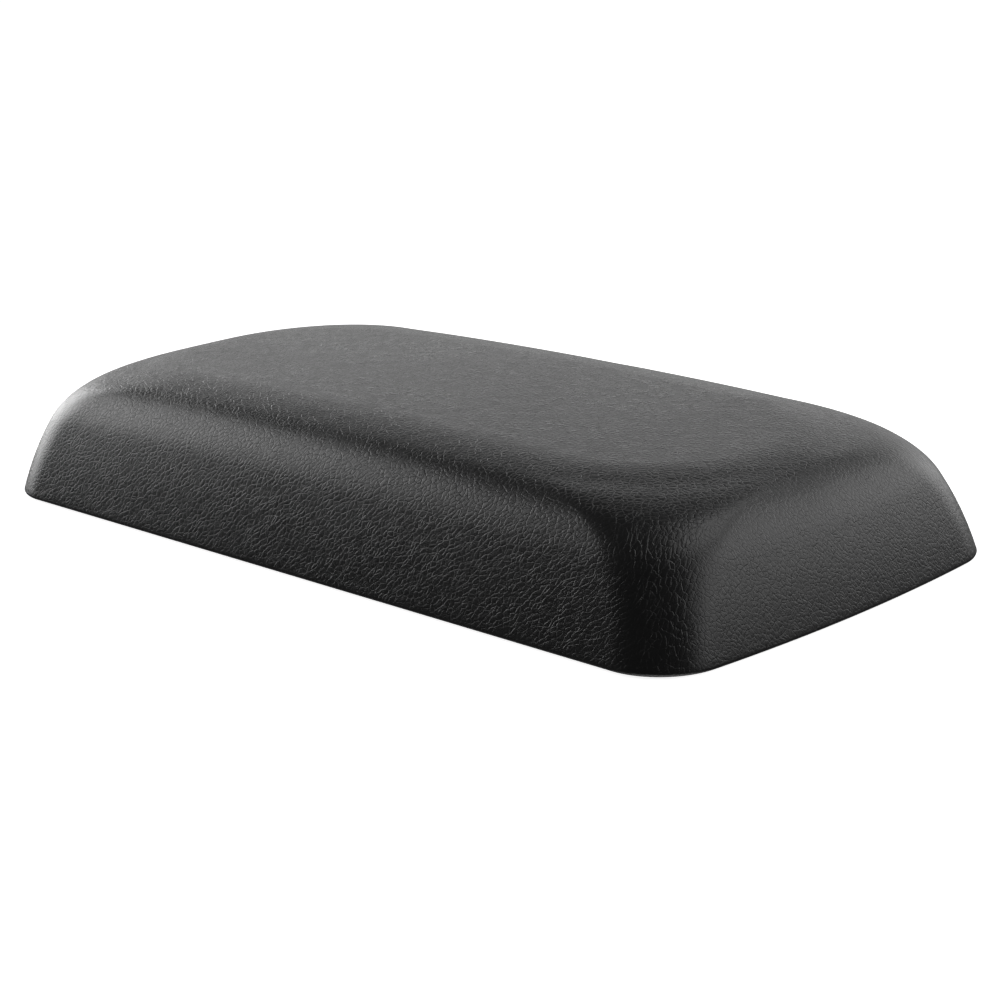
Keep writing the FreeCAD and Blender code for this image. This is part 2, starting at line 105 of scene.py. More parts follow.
# the cloth coordinates of the grain, and the grain itself
GRAIN_SHIFT = 0.7                   # metres of cloth from the grain of one side, corner or end to the next
HEM_RUN = 1.5 * MM                  # cloth from each ring of the hem to the next
# slant in degrees, length and width of the pebbles, and share of the full depth
GRAINS = {"side": (30.0, 1.75 * MM, 1.15 * MM, 0.44),
          "corner": (62.0, 1.9 * MM, 1.15 * MM, 0.80),
          "end": (122.0, 1.5 * MM, 1.05 * MM, 0.43)}
TOP_GRAIN = (45.0, 1.6 * MM, 1.3 * MM)
TOP_SHARES = (0.75, 1.15)           # share of the depth where the top falls away, and where it is flat
FLAT = (0.95, 0.995)                # upward parts of the normal at those two
STEEP = (0.95, 0.76)                # the same, where the grain of the sides takes over from the top's
CORNER_TURN = (8.0, 38.0)           # degrees round from a long side where the corner's grain takes over
END_TURN = (50.0, 82.0)             # and the end's from the corner's
EDGE_SMOOTH = (0.3 * MM, 3.0 * MM)  # up from the bottom edge, between these the grain comes to its full depth
EDGE_SHARE = 0.4                    # share of the depth at that edge
GRAIN_DRIFT = 1.1                   # how far the pebbles wander from an even pattern
GRAIN_TOP = 2.2                     # height at which a pebble has its own colour and roughness
GRAIN_DEPTH = 0.09 * MM             # distance that the height of the grain is multiplied by
GRAIN_ROUGH = 0.27                  # roughness of the pebbles
CREASE_ROUGH = 0.37                 # and of the creases between them

# the camera, and the bearing that the lights are set out from
AZIMUTH = math.radians(45.4)
ELEVATION = math.radians(16.4)
ROLL = math.radians(-2.2)
DISTANCE = 668.4 * MM
LENS = 89.07                        # focal length and picture width in millimetres
SENSOR = 36.0
AIM_RIGHT = 8.15 * MM
AIM_UP = 5.02 * MM

FLOOR_SIZE = 12.0
FLOOR_DROP = -0.2 * MM              # keeps the floor just clear of the faces that stand on it
FLOOR_GLOW = 0.9
ROOM_LIGHT = 0.10                   # radiance of the dark studio
BACKDROP_LIGHT = 1.2                # and of the pale backdrop low behind the pad
BACKDROP_TOP = 30.0                 # degrees above the floor where the backdrop ends
BACKDROP_SOFT = 16.0
BACKDROP_BEARING = 170.0            # its middle, in degrees round from the camera
BACKDROP_SIDES = (0.35, 0.85)       # cosines between which it fades out to its sides
HORIZON = (-0.10, 0.0)              # rises between which it fades out below the floor
# name, bearing and elevation in degrees, distance, width, height, radiance
SOFTBOXES = (("softbox_left", 227.0, 9.0, 1.2, 1.00, 0.50, 3.7),
             ("softbox_high_left", 248.0, 28.0, 1.2, 0.60, 0.55, 3.1),
             ("softbox_right", 82.0, 23.0, 1.2, 1.45, 0.80, 1.7),
             ("softbox_above", 95.0, 60.0, 1.2, 0.80, 0.50, 2.4),
             ("softbox_back_right", 125.0, 12.0, 1.2, 0.80, 0.60, 1.2),
             ("lamp_below", 0.0, -80.0, 1.5, 1.50, 1.50, 1.6))


# ------------------------------------------------------------------ the pad's form

def arc_points(start, tilt_from, tilt_to, radius, steps):
    """Points after start along an arc whose steepness runs from one tilt to another, in degrees."""
    tilts = np.radians(np.linspace(tilt_from, tilt_to, steps + 1)[1:])
    first = math.radians(tilt_from)
    inset = start[0] + radius * (math.sin(first) - np.sin(tilts))
    height = start[1] + radius * (np.cos(tilts) - math.cos(first))
    return [(float(a), float(b)) for a, b in zip(inset, height)]


def side_profile():
    """(inset, height) pairs from the lowest point of the cover up to the edge of the flat top."""
    points = [(LIP_ARC[1], 0.0)]
    tilt = 180.0
    for (tilt_end, radius), steps in zip((LIP_ARC, SIDE_ARC, *SHOULDER_ARCS), ARC_STEPS):
        points += arc_points(points[-1], tilt, tilt_end, radius, steps)
        tilt = tilt_end
    return points


def offset_profile(points, depth):
    """Move a profile inwards by a depth, square to itself."""
    moved = []
    for number, (inset, height) in enumerate(points):
        before = points[max(number - 1, 0)]
        after = points[min(number + 1, len(points) - 1)]
        run, rise = after[0] - before[0], after[1] - before[1]
        reach = math.hypot(run, rise)
        moved.append((inset + depth * rise / reach, height - depth * run / reach))
    return moved


PROFILE = side_profile()
PROFILE_RISE = PROFILE[-1][1]
BODY_RISE = COVER_HIGH.z - COVER_LOW.z - CROWN


def lift(x, height):
    """Height above the floor of a point of the form, crowned along the pad."""
    share = height / PROFILE_RISE
    arch = CROWN * (1.0 - (x / HALF_LENGTH) ** 2)
    return COVER_LOW.z + share * (BODY_RISE + arch)


def corner_radius(inset):
    """Plan radius of the corners of the outline drawn in by an inset."""
    room = PLATEAU_SHARE * (HALF_WIDTH - inset)
    grown = CORNER + CORNER_GROWTH * max(inset, 0.0) ** 2
    return -PLATEAU_EASE * math.log(math.exp(-grown / PLATEAU_EASE) + math.exp(-room / PLATEAU_EASE))


def outline(inset, radius):
    """Plan points of the pad's outline drawn in by an inset, with corners of a given radius.

    They run anticlockwise from the back of the left end, along straight sides and bowed ends.
    """
    half_x, half_y, bow = HALF_LENGTH - inset, HALF_WIDTH - inset, BOW - inset
    bow_x, corner_y = half_x - bow, half_y - radius
    meet = math.asin(corner_y / (bow - radius))
    corner_x = bow_x + (bow - radius) * math.cos(meet)
    turns = [((-bow_x, 0.0), bow, math.pi - meet, math.pi + meet, SHORT_STEPS),
             ((-corner_x, -corner_y), radius, math.pi + meet, 1.5 * math.pi, CORNER_STEPS),
             None,
             ((corner_x, -corner_y), radius, -0.5 * math.pi, -meet, CORNER_STEPS),
             ((bow_x, 0.0), bow, -meet, meet, SHORT_STEPS),
             ((corner_x, corner_y), radius, meet, 0.5 * math.pi, CORNER_STEPS),
             None,
             ((-corner_x, corner_y), radius, 0.5 * math.pi, math.pi - meet, CORNER_STEPS)]
    points = []
    for number, turn in enumerate(turns):
        if turn is None:
            side = 1 if number == 2 else -1
            along = np.linspace(-side * corner_x, side * corner_x, LONG_STEPS, endpoint=False)
            points.append(np.column_stack([along, np.full(LONG_STEPS, -side * half_y)]))
            continue
        centre, reach, start, end, steps = turn
        angles = np.linspace(start, end, steps, endpoint=False)
        round_it = np.column_stack([np.cos(angles), np.sin(angles)])
        points.append(np.array(centre) + reach * round_it)
    return np.vstack(points)


RING = 2 * (LONG_STEPS + SHORT_STEPS) + 4 * CORNER_STEPS
HALF_RING = RING // 2
TO_LONG = SHORT_STEPS + CORNER_STEPS          # steps from the start of a ring to its front long side

# the middles of the sides, corners and ends, as steps round a ring
MIDDLES = {"side": [TO_LONG + LONG_STEPS // 2 + turn for turn in (0, HALF_RING)],
           "corner": [first + CORNER_STEPS // 2 + turn for turn in (0, HALF_RING)
                      for first in (SHORT_STEPS, TO_LONG + LONG_STEPS)],
           "end": [SHORT_STEPS // 2 + turn for turn in (0, HALF_RING)]}


def form_ring(inset, height, shift=0.0, folded_under=False):
    """One ring of the crowned form, or of a layer under it that is drawn in by a further shift.

    A layer's corners stay parallel to the form's, and where the form folds under, to its edge.
    """
    radius = CORNER - inset if folded_under else corner_radius(inset - shift) - shift
    plan = outline(inset, radius)
    z = np.array([lift(x, height) for x in plan[:, 0]])
    return np.column_stack([plan, z])


def layer_rings(depth, lowest):
    """Rings of a layer a depth under the form, from the top down to a level foot.

    The lip is left out, because its radius is smaller than the thickness of the cloth.
    """
    side = ARC_STEPS[0] + 1
    level = (lowest - COVER_LOW.z) / (BODY_RISE + CROWN) * PROFILE_RISE
    rows = [(inset, height, inset - outer[0])
            for outer, (inset, height) in zip(PROFILE[side:], offset_profile(PROFILE, depth)[side:])
            if height > level + FOOT_CLEAR]
    low, above = rows[:2]
    slope = (above[0] - low[0]) / (above[1] - low[1])
    foot = form_ring(low[0] - slope * (low[1] - level), level, low[2])
    foot[:, 2] = lowest
    return [form_ring(*row) for row in rows][::-1] + [foot]


def flat_ring(inset, z):
    """One ring of the hem, level and parallel to the bottom edge as it was before it was rounded."""
    plan = outline(inset - EDGE_LEAD, max(CORNER - inset, LEAST_ROUND))
    return np.column_stack([plan, np.full(len(plan), z)])


def cap_grid(ring):
    """Fill a ring with a grid, splitting each corner between the two sides that meet there."""
    half = CORNER_STEPS // 2
    across = LONG_STEPS + CORNER_STEPS
    up = SHORT_STEPS + CORNER_STEPS
    start = SHORT_STEPS + half
    walk = np.roll(np.arange(RING), -start)
    front = walk[:across + 1]
    right = walk[across:across + up + 1]
    back = walk[across + up:2 * across + up + 1][::-1]
    left = np.append(walk[2 * across + up:], walk[0])[::-1]
    index = np.full((up + 1, across + 1), -1)
    index[0, :], index[-1, :] = front, back
    index[:, 0], index[:, -1] = left, right
    u = np.linspace(0, 1, across + 1)[None, :, None]
    v = np.linspace(0, 1, up + 1)[:, None, None]
    edge = ring[front][None], ring[back][None], ring[left][:, None], ring[right][:, None]
    corners = ((1 - u) * (1 - v) * ring[front[0]] + u * (1 - v) * ring[front[-1]]
               + (1 - u) * v * ring[back[0]] + u * v * ring[back[-1]])
    places = (1 - v) * edge[0] + v * edge[1] + (1 - u) * edge[2] + u * edge[3] - corners
    return index, places


# ------------------------------------------------------------------ meshes

def mesh_object(name, points, faces, material):
    """A smooth-shaded mesh object from points and faces."""
    mesh = bpy.data.meshes.new(name)
    mesh.from_pydata([tuple(point) for point in points], [], faces)
    mesh.validate()
    mesh.polygons.foreach_set("use_smooth", [True] * len(mesh.polygons))
    mesh.materials.append(material)
    piece = bpy.data.objects.new(name, mesh)
    bpy.context.scene.collection.objects.link(piece)
    return piece


def shell_of_rings(rings, first_height=None, last_height=None):
    """Points and faces of a closed form: rings from the top outwards and under, capped at both ends.

    first_height and last_height give the crowned height of each cap, or leave it level.
    """
    points = [tuple(point) for ring in rings for point in ring]
    faces = []
    for number in range(len(rings) - 1):
        low, high = number * RING, (number + 1) * RING
        for step in range(RING):
            after = (step + 1) % RING
            faces.append((low + step, high + step, high + after, low + after))
    for base, height, flip in ((0, first_height, False), ((len(rings) - 1) * RING, last_height, True)):
        index, places = cap_grid(np.array(points[base:base + RING]))
        numbers = np.where(index >= 0, index + base, -1)
        for row in range(1, index.shape[0] - 1):
            for column in range(1, index.shape[1] - 1):
                x, y, z = places[row, column]
                numbers[row, column] = len(points)
                points.append((x, y, z if height is None else lift(x, height)))
        for row in range(index.shape[0] - 1):
            for column in range(index.shape[1] - 1):
                quad = (numbers[row, column], numbers[row, column + 1],
                        numbers[row + 1, column + 1], numbers[row + 1, column])
                faces.append(tuple(int(n) for n in (quad[::-1] if flip else quad)))
    return points, faces


# ------------------------------------------------------------------ cover and foam

def length_round(ring, middles):
    """Distance round a ring from the nearest of the given points, shifted so that none share a grain."""
    plan = ring[:, :2]
    steps = np.linalg.norm(np.roll(plan, -1, axis=0) - plan, axis=1)
    run = np.concatenate([[0.0], np.cumsum(steps)[:-1]])
    round_it = steps.sum()
    gaps = np.array([(run - run[middle] + round_it / 2) % round_it - round_it / 2 for middle in middles])
    nearest = np.abs(gaps).argmin(axis=0)
    return gaps[nearest, np.arange(len(run))] + GRAIN_SHIFT * nearest


def running_length(pairs):
    """Length along a row of (inset, height) pairs up to each of them."""
    steps = [math.dist(a, b) for a, b in zip(pairs, pairs[1:])]
    return np.concatenate([[0.0], np.cumsum(steps)])


def cover_rings():
    """Rings of the leathercloth from the top, down the outside, round the hem and back up inside."""
    outside = [form_ring(inset, height, folded_under=number <= ARC_STEPS[0] // 2)
               for number, (inset, height) in enumerate(PROFILE)][::-1]
    hem = [(inset, COVER_LOW.z) for inset in EDGE_RINGS]
    hem += [(RIM_TURN, COVER_LOW.z + 0.1 * MM), (RIM_INNER + SKIN, COVER_LOW.z + 0.5 * MM),
            (RIM_INNER + SKIN, HEM_LOW - HEM_BEND), (RIM_INNER + SKIN + HEM_BEND, HEM_LOW),
            (HEM_INNER - HEM_END, HEM_LOW), (HEM_INNER, HEM_LOW + HEM_END),
            (HEM_INNER, HEM_LOW + SKIN), (RIM_INNER + HEM_BEND, HEM_LOW + SKIN),
            (RIM_INNER, HEM_LOW + SKIN - HEM_BEND), (RIM_INNER, COVER_LOW.z + SKIN)]
    folded = [flat_ring(inset, z) for inset, z in hem]
    for ring in folded[:len(EDGE_RINGS) + 1]:
        add_pleats(ring)
    inside = layer_rings(SKIN, COVER_LOW.z + SKIN)[::-1]
    return outside + folded + inside, len(outside)


def add_pleats(ring):
    """Gather the cloth into small radial pleats where it folds under a corner."""
    for corner in range(4):
        first = (corner // 2) * (LONG_STEPS + SHORT_STEPS + 2 * CORNER_STEPS)
        first += SHORT_STEPS if corner % 2 == 0 else SHORT_STEPS + CORNER_STEPS + LONG_STEPS
        for step in range(CORNER_STEPS):
            share = step / CORNER_STEPS
            swell = math.sin(math.pi * share) ** 0.5
            wave = math.cos(2 * math.pi * PLEATS * share)
            ring[first + step, 2] += PLEAT_DEPTH * swell * wave


def make_cover(material):
    """The leathercloth cover as one closed shell, with cloth coordinates for its grain."""
    rings, outside = cover_rings()
    points, faces = shell_of_rings(rings, PROFILE_RISE, offset_profile(PROFILE, SKIN)[-1][1])
    piece = mesh_object("cover_leathercloth", points, faces, material)
    run = running_length(PROFILE)[::-1]
    rest = len(rings) - outside
    up = list(run) + [-(number + 1) * HEM_RUN for number in range(rest)]
    plan = np.array([(point[0], point[1]) for point in points])
    mesh = piece.data
    corners = np.empty(len(mesh.loops), dtype=np.int64)
    mesh.loops.foreach_get("vertex_index", corners)
    layers = {"plan": plan}
    for name, middles in MIDDLES.items():
        along = [length_round(ring, middles) for ring in rings[:outside]]
        along += [along[-1]] * rest
        cloth = [(u, up[number]) for number, row in enumerate(along) for u in row]
        cloth += [(point[0], up[0]) for point in points[len(cloth):]]
        layers[name] = np.array(cloth)
    for name, places in layers.items():
        layer = mesh.uv_layers.new(name=name)
        layer.data.foreach_set("uv", places[corners].astype(np.float32).ravel())
    return piece


def closed_block():
    """The pad's outside as one closed form, for the cloth simulation."""
    rings = [form_ring(inset, height) for inset, height in PROFILE[ARC_STEPS[0] // 2:]][::-1]
    rings += [flat_ring(EDGE_RINGS[1], COVER_LOW.z)]
    points, faces = shell_of_rings(rings, PROFILE_RISE)
    block = mesh_object("cover_block", points, faces, bpy.data.materials.new("block"))
    remesh = block.modifiers.new("remesh", "REMESH")
    remesh.mode = "VOXEL"
    remesh.voxel_size = SIM_VOXEL
    shape = bpy.data.meshes.new_from_object(block.evaluated_get(bpy.context.evaluated_depsgraph_get()))
    bpy.data.objects.remove(block)
    drawn = bpy.data.objects.new("drawn_cover", shape)
    bpy.context.scene.collection.objects.link(drawn)
    return drawn


def mesh_places(mesh):
    """Vertex positions of a mesh as an array."""
    places = np.empty(3 * len(mesh.vertices))
    mesh.vertices.foreach_get("co", places)
    return places.reshape(-1, 3)


def simulate_cover():
    """Press the foam against the cover, held along its hem.

    Returns where the points of a coarse copy start, and how far each of them moves.
    """
    drawn = closed_block()
    held = drawn.vertex_groups.new(name="held")
    low = [vertex.index for vertex in drawn.data.vertices if vertex.co.z < HELD_BELOW]
    held.add(low, 1.0, "REPLACE")
    cloth = drawn.modifiers.new("cloth", "CLOTH")
    cloth.settings.quality = SIM_QUALITY
    cloth.settings.vertex_group_mass = "held"
    cloth.settings.use_pressure = True
    cloth.settings.uniform_pressure_force = SIM_PRESSURE
    cloth.settings.effector_weights.gravity = 0.0
    cloth.point_cache.frame_start = 1
    cloth.point_cache.frame_end = SIM_FRAMES
    start = mesh_places(drawn.data)
    scene = bpy.context.scene
    for frame_number in range(1, SIM_FRAMES + 1):
        scene.frame_set(frame_number)
    settled = drawn.evaluated_get(bpy.context.evaluated_depsgraph_get())
    moved = mesh_places(settled.data) - start
    scene.frame_set(1)
    bpy.data.objects.remove(drawn)
    return start, moved


def draw_tight(pieces, start, moved):
    """Move each piece's points as the simulated cover moved, scaled so that none moves too far."""
    furthest = np.percentile(np.linalg.norm(moved, axis=1), MOST_MOVED)
    share = DRAWN_LIMIT / furthest
    tree = KDTree(len(start))
    for number, place in enumerate(start):
        tree.insert(place, number)
    tree.balance()
    for piece in pieces:
        for vertex in piece.data.vertices:
            near = [(number, math.exp(-(gap / SIM_VOXEL) ** 2))
                    for _, number, gap in tree.find_n(vertex.co, NEAR_POINTS)]
            total = sum(weight for _, weight in near) + 1e-9
            shift = sum(weight * moved[number] for number, weight in near) / total * share
            size = float(np.linalg.norm(shift))
            if size > 0:
                vertex.co += Vector(shift * min(1.0, DRAWN_LIMIT / size))


def make_foam(material):
    """The moulded foam inside, with the seat for the raised middle of the plate."""
    depth = SKIN + FOAM_GAP
    bottom = FOAM_LOW.z
    rings = layer_rings(depth, bottom)
    rings += [flat_ring(LEDGE_INNER, bottom), flat_ring(LEDGE_INNER, PLATE_HIGH.z)]
    points, faces = shell_of_rings(rings, offset_profile(PROFILE, depth)[-1][1])
    return mesh_object("foam_core", points, faces, material)


# ------------------------------------------------------------------ material nodes

class Graph:
    """A material's node tree, with one call to add a node and link its inputs."""

    def __init__(self, name):
        self.material = bpy.data.materials.new(name)
        self.material.use_nodes = True
        self.tree = self.material.node_tree
        self.shader = self.tree.nodes["Principled BSDF"]

    def add(self, kind, inputs=(), **settings):
        """Add a node, set its properties, and fill inputs with numbers or link them to sockets."""
        node = self.tree.nodes.new(f"ShaderNode{kind}")
        for name, setting in settings.items():
            setattr(node, name, setting)
        for key, entry in dict(inputs).items():
            if isinstance(entry, bpy.types.NodeSocket):
                self.tree.links.new(entry, node.inputs[key])
            else:
                node.inputs[key].default_value = entry
        return node

    def math(self, operation, first, second=0.0, third=0.0):
        """A maths node's result."""
        return self.add("Math", {0: first, 1: second, 2: third}, operation=operation).outputs[0]

    def ramp(self, entry, low, high, to_low=0.0, to_high=1.0):
        """An input stretched smoothly from one range to another."""
        return self.add("MapRange", {0: entry, 1: low, 2: high, 3: to_low, 4: to_high},
                        interpolation_type="SMOOTHSTEP").outputs[0]

    def noise(self, vector, scale, detail=2.0, roughness=0.5):
        """Noise from 0 to 1."""
        return self.add("TexNoise", {"Vector": vector, "Scale": scale, "Detail": detail,
                                     "Roughness": roughness}).outputs[0]

    def blend(self, share, first, second):
        """A mix of two numbers."""
        return self.add("Mix", {0: share, 2: first, 3: second}, data_type="FLOAT").outputs[0]

    def colour_mix(self, share, first, second):
        """A mix of two colours."""
        entries = {0: share, 6: (*first, 1.0), 7: (*second, 1.0)}
        return self.add("Mix", entries, data_type="RGBA").outputs[2]

    def bump(self, height, distance):
        """A surface normal from a height."""
        return self.add("Bump", {"Height": height, "Distance": distance, "Strength": 1.0}).outputs[0]

    def link(self, socket, name):
        """Feed one of the shader's inputs."""
        self.tree.links.new(socket, self.shader.inputs[name])

    def fix(self, **entries):
        """Set inputs of the shader that are even all over."""
        for name, entry in entries.items():
            self.shader.inputs[name.replace("_", " ")].default_value = entry


def pebble_height(graph, cloth, turn, long, wide):
    """Height of a pebbled leather grain: plump cells parted by fine creases.

    The cells are drawn out along a direction given in degrees, and long and wide are their size.
    """
    laid = graph.add("Mapping", {"Vector": cloth, "Rotation": (0, 0, math.radians(turn)),
                                 "Scale": (long, wide, 1.0)}, vector_type="TEXTURE").outputs[0]
    drift = graph.add("TexNoise", {"Vector": laid, "Scale": 0.55, "Detail": 2.0}).outputs[1]
    centred = graph.add("VectorMath", {0: drift, 1: (0.5, 0.5, 0.5)}, operation="SUBTRACT").outputs[0]
    bent = graph.add("VectorMath", {0: centred, 1: (GRAIN_DRIFT,) * 3, 2: laid},
                     operation="MULTIPLY_ADD").outputs[0]
    edge = graph.add("TexVoronoi", {"Vector": bent, "Scale": 1.0}, voronoi_dimensions="2D",
                     feature="DISTANCE_TO_EDGE").outputs["Distance"]
    small = graph.add("TexVoronoi", {"Vector": bent, "Scale": 2.1}, voronoi_dimensions="2D",
                      feature="DISTANCE_TO_EDGE").outputs["Distance"]
    crease = graph.ramp(edge, 0.0, 0.11)
    plump = graph.ramp(edge, 0.0, 0.5)
    fine = graph.ramp(small, 0.0, 0.20)
    drawn = graph.add("Mapping", {"Vector": bent, "Scale": (0.28, 0.75, 1.0)}).outputs[0]
    wander = graph.noise(drawn, 1.0, 1.0)
    fold = graph.ramp(graph.math("ABSOLUTE", graph.math("SUBTRACT", wander, 0.5)), 0.0, 0.03)
    depth = graph.ramp(graph.noise(laid, 0.3), 0.3, 0.65, 0.55, 1.0)
    dome = graph.math("MULTIPLY_ADD", plump, 0.45, graph.math("MULTIPLY", crease, 0.9))
    height = graph.math("MULTIPLY", dome, depth)
    height = graph.math("MULTIPLY_ADD", fine, 0.11, height)
    height = graph.math("MULTIPLY_ADD", fold, 0.35, height)
    return graph.math("MULTIPLY_ADD", graph.noise(laid, 5.0, 2.0), 0.06, height)


def leathercloth():
    """Black pebbled leathercloth with a satin finish, smoother where it is drawn over the edge."""
    graph = Graph("black_leathercloth")
    plan = graph.add("UVMap", uv_map="plan").outputs[0]
    facing = graph.add("SeparateXYZ", {0: graph.add("NewGeometry").outputs["Normal"]})
    to_end = graph.math("ABSOLUTE", facing.outputs[0])
    to_side = graph.math("ABSOLUTE", facing.outputs[1])
    bearing = graph.math("ARCTAN2", to_end, to_side)
    at_corner = graph.ramp(bearing, *map(math.radians, CORNER_TURN))
    at_end = graph.ramp(bearing, *map(math.radians, END_TURN))
    steep = graph.ramp(facing.outputs[2], *STEEP)
    grown = {}
    for name, (slant, long, wide, share) in GRAINS.items():
        cloth = graph.add("UVMap", uv_map=name).outputs[0]
        grown[name] = graph.math("MULTIPLY", pebble_height(graph, cloth, slant, long, wide), share)
    flatness = graph.ramp(facing.outputs[2], *FLAT, *TOP_SHARES)
    on_top = graph.math("MULTIPLY", pebble_height(graph, plan, *TOP_GRAIN), flatness)
    round_side = graph.blend(at_corner, grown["side"], grown["corner"])
    round_side = graph.blend(at_end, round_side, grown["end"])
    height = graph.blend(steep, on_top, round_side)
    up_side = graph.add("UVMap", uv_map="side").outputs[0]
    from_edge = graph.add("SeparateXYZ", {0: up_side}).outputs[1]
    drawn = graph.ramp(from_edge, *EDGE_SMOOTH, EDGE_SHARE, 1.0)
    height = graph.math("MULTIPLY", height, drawn)
    graph.link(graph.bump(height, GRAIN_DEPTH), "Normal")
    place = graph.add("TexCoord").outputs["Object"]
    cloudy = graph.noise(place, 24.0, 3.0)
    faded = graph.ramp(cloudy, 0.3, 0.7, 0.75, 1.0)
    tone = graph.math("MULTIPLY", graph.ramp(height, 0.0, GRAIN_TOP), faded)
    graph.link(graph.colour_mix(tone, (0.0060, 0.0060, 0.0064), (0.0100, 0.0099, 0.0102)), "Base Color")
    rough = graph.ramp(height, 0.0, GRAIN_TOP, CREASE_ROUGH, GRAIN_ROUGH)
    rough = graph.math("MULTIPLY_ADD", graph.math("SUBTRACT", cloudy, 0.5), 0.08, rough)
    graph.link(rough, "Roughness")
    graph.fix(IOR=1.5)
    return graph.material


def moulded_foam():
    """Pale moulded polyurethane foam with small open cells."""
    graph = Graph("moulded_foam")
    place = graph.add("TexCoord").outputs["Object"]
    cells = graph.add("TexVoronoi", {"Vector": place, "Scale": 900.0}).outputs["Distance"]
    cloudy = graph.noise(place, 40.0, 4.0)
    graph.link(graph.colour_mix(graph.ramp(cloudy, 0.3, 0.7), (0.55, 0.48, 0.33), (0.68, 0.62, 0.47)),
               "Base Color")
    graph.link(graph.ramp(cells, 0.0, 0.6, 0.95, 0.8), "Roughness")
    graph.link(graph.bump(cells, 0.3 * MM), "Normal")
    return graph.material


def moulded_plastic(name, dark, light, grain_scale, grain_depth):
    """Matt black moulded plastic with a fine eroded texture and a few rubbed patches."""
    graph = Graph(name)
    place = graph.add("TexCoord").outputs["Object"]
    eroded = graph.noise(place, grain_scale, 4.0, 0.7)
    rubbed = graph.ramp(graph.noise(place, 30.0, 5.0, 0.6), 0.52, 0.72)
    graph.link(graph.colour_mix(rubbed, dark, light), "Base Color")
    rough = graph.math("MULTIPLY_ADD", rubbed, -0.12, graph.ramp(eroded, 0.3, 0.7, 0.50, 0.66))
    graph.link(rough, "Roughness")
    graph.link(graph.bump(eroded, grain_depth), "Normal")
    graph.fix(IOR=1.49)
    return graph.material


def turned_metal(name, dark, light, base_rough):
    """Bare or plated metal with fine turning marks and slight tarnish."""
    graph = Graph(name)
    place = graph.add("TexCoord").outputs["Object"]
    stretched = graph.add("Mapping", {"Vector": place, "Scale": (1.0, 1.0, 9.0)}).outputs[0]
    marks = graph.noise(stretched, 1400.0, 2.0)
    tarnish = graph.noise(place, 160.0, 4.0, 0.6)
    graph.link(graph.colour_mix(graph.ramp(tarnish, 0.35, 0.7), light, dark), "Base Color")
    graph.link(graph.ramp(tarnish, 0.3, 0.75, base_rough, base_rough + 0.2), "Roughness")
    graph.link(graph.bump(marks, 0.03 * MM), "Normal")
    graph.fix(Metallic=1.0)
    return graph.material


# ------------------------------------------------------------------ stage, lights and camera

def make_floor():
    """A plain pale floor, lit from within like a light table, that isn't mirrored in the object.

    Its underside is clear and it casts no shadow, so that the pad can be seen and lit from below.
    """
    graph = Graph("pale_floor")
    place = graph.add("TexCoord").outputs["Object"]
    tone = graph.ramp(graph.noise(place, 3.0), 0.3, 0.7)
    graph.link(graph.colour_mix(tone, (0.86, 0.86, 0.86), (0.88, 0.88, 0.88)), "Base Color")
    graph.fix(Roughness=0.9)
    graph.shader.inputs["Emission Color"].default_value = (1.0, 1.0, 1.0, 1.0)
    graph.shader.inputs["Emission Strength"].default_value = FLOOR_GLOW
    clear = graph.add("BsdfTransparent").outputs[0]
    below = graph.add("NewGeometry").outputs["Backfacing"]
    mixed = graph.add("MixShader", {0: below, 1: graph.shader.outputs[0], 2: clear})
    graph.tree.links.new(mixed.outputs[0], graph.tree.nodes["Material Output"].inputs[0])
    half = FLOOR_SIZE / 2
    points = [(-half, -half, FLOOR_DROP), (half, -half, FLOOR_DROP), (half, half, FLOOR_DROP),
              (-half, half, FLOOR_DROP)]
    floor = mesh_object("floor", points, [(0, 1, 2, 3)], graph.material)
    floor.visible_glossy = False
    floor.visible_diffuse = False
    floor.visible_shadow = False


def direction(bearing, rise):
    """A unit vector from the pad at a bearing and an elevation, in radians."""
    level = math.cos(rise)
    return Vector((math.sin(bearing) * level, -math.cos(bearing) * level, math.sin(rise)))


def make_world():
    """A dark studio with a pale backdrop low behind the pad."""
    world = bpy.data.worlds.new("studio")
    bpy.context.scene.world = world
    world.use_nodes = True
    tree = world.node_tree
    tree.nodes.clear()
    out = tree.nodes.new("ShaderNodeOutputWorld")
    back = tree.nodes.new("ShaderNodeBackground")
    coordinate = tree.nodes.new("ShaderNodeTexCoord")
    split = tree.nodes.new("ShaderNodeSeparateXYZ")
    behind = tree.nodes.new("ShaderNodeVectorMath")
    behind.operation = "DOT_PRODUCT"
    behind.inputs[1].default_value = direction(AZIMUTH + math.radians(BACKDROP_BEARING), 0.0)
    links = tree.links
    links.new(coordinate.outputs["Generated"], split.inputs[0])
    links.new(coordinate.outputs["Generated"], behind.inputs[0])
    edges = ((split.outputs[2], math.sin(math.radians(BACKDROP_TOP + BACKDROP_SOFT)),
              math.sin(math.radians(BACKDROP_TOP - BACKDROP_SOFT))),
             (split.outputs[2], *HORIZON),
             (behind.outputs["Value"], *BACKDROP_SIDES))
    shares = []
    for socket, dark, bright in edges:
        edge = tree.nodes.new("ShaderNodeMapRange")
        edge.interpolation_type = "SMOOTHSTEP"
        edge.inputs[1].default_value = dark
        edge.inputs[2].default_value = bright
        links.new(socket, edge.inputs[0])
        shares.append(edge.outputs[0])
    share = shares[0]
    for other in shares[1:]:
        both = tree.nodes.new("ShaderNodeMath")
        both.operation = "MULTIPLY"
        links.new(share, both.inputs[0])
        links.new(other, both.inputs[1])
        share = both.outputs[0]
    level = tree.nodes.new("ShaderNodeMapRange")
    level.inputs[3].default_value = ROOM_LIGHT
    level.inputs[4].default_value = BACKDROP_LIGHT
    links.new(share, level.inputs[0])
    links.new(level.outputs[0], back.inputs["Strength"])
    links.new(back.outputs[0], out.inputs[0])


